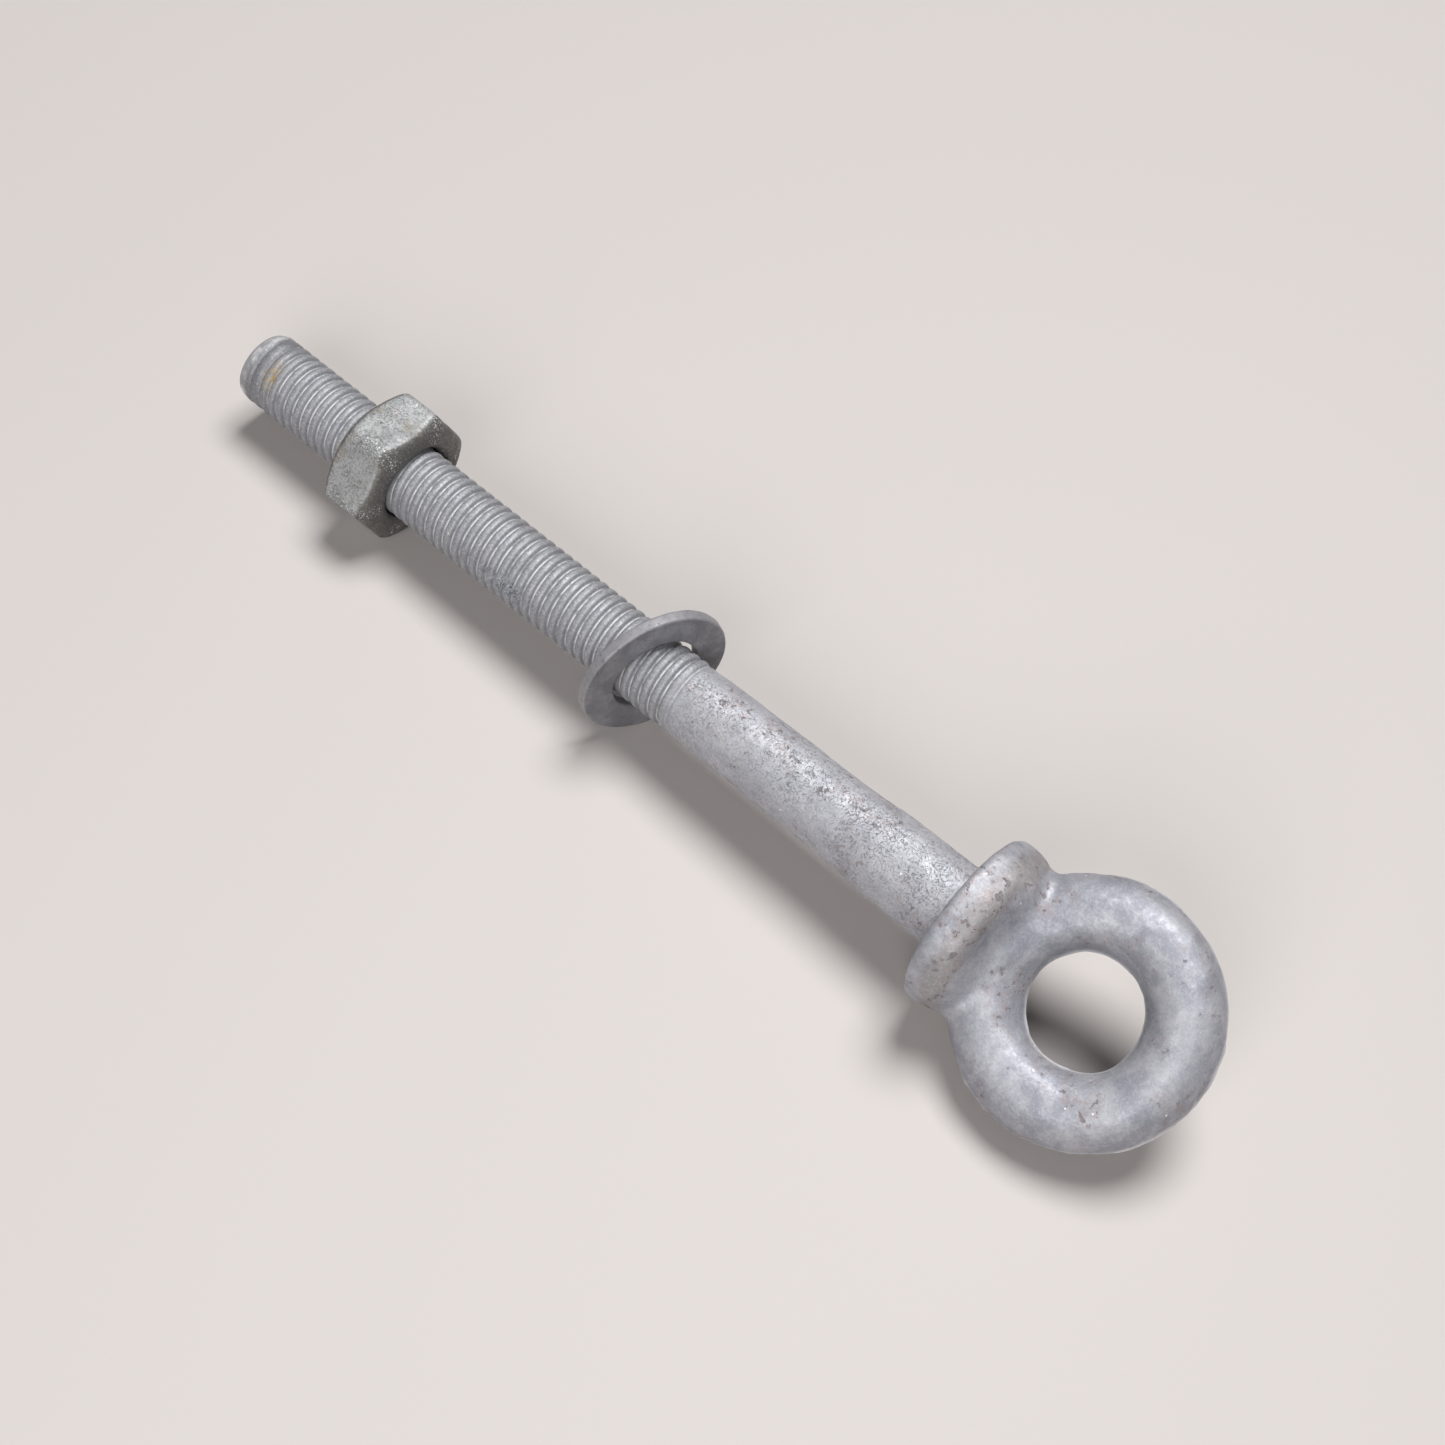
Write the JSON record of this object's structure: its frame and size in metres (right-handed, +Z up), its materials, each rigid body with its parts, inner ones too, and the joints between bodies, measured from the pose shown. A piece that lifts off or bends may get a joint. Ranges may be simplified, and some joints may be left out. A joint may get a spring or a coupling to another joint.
{
  "type": "eye bolt",
  "caption": "Forged galvanised eye bolt with a round eye, a collar, a long part-threaded shank, a hex nut and a flat washer.",
  "frame": {"origin": "middle of the part's box, on the level surface that it lies on", "axes": "+X runs along the bolt from its threaded end towards the eye, which climbs by nearly two degrees, and +Z is up"},
  "size_m": [0.149, 0.027, 0.0221],
  "materials": {
    "forging_zinc": "dull spangled hot-dip zinc over forged steel",
    "nut_zinc": "dark mottled hot-dip zinc",
    "washer_zinc": "even dull hot-dip zinc"
  },
  "bodies": {
    "bolt": {"eye_bolt": "forging_zinc"},
    "nut": {"hex_nut": "nut_zinc"},
    "washer": {"flat_washer": "washer_zinc"}
  },
  "joints": [
    {"name": "nut_travel", "type": "slide", "parent": "bolt", "child": "nut", "axis": [0.9996, 0, 0.0292], "range_m": [-0.018, 0.024]},
    {"name": "washer_travel", "type": "slide", "parent": "bolt", "child": "washer", "axis": [0.9996, 0, 0.0292], "range_m": [-0.011, 0.025]}
  ]
}
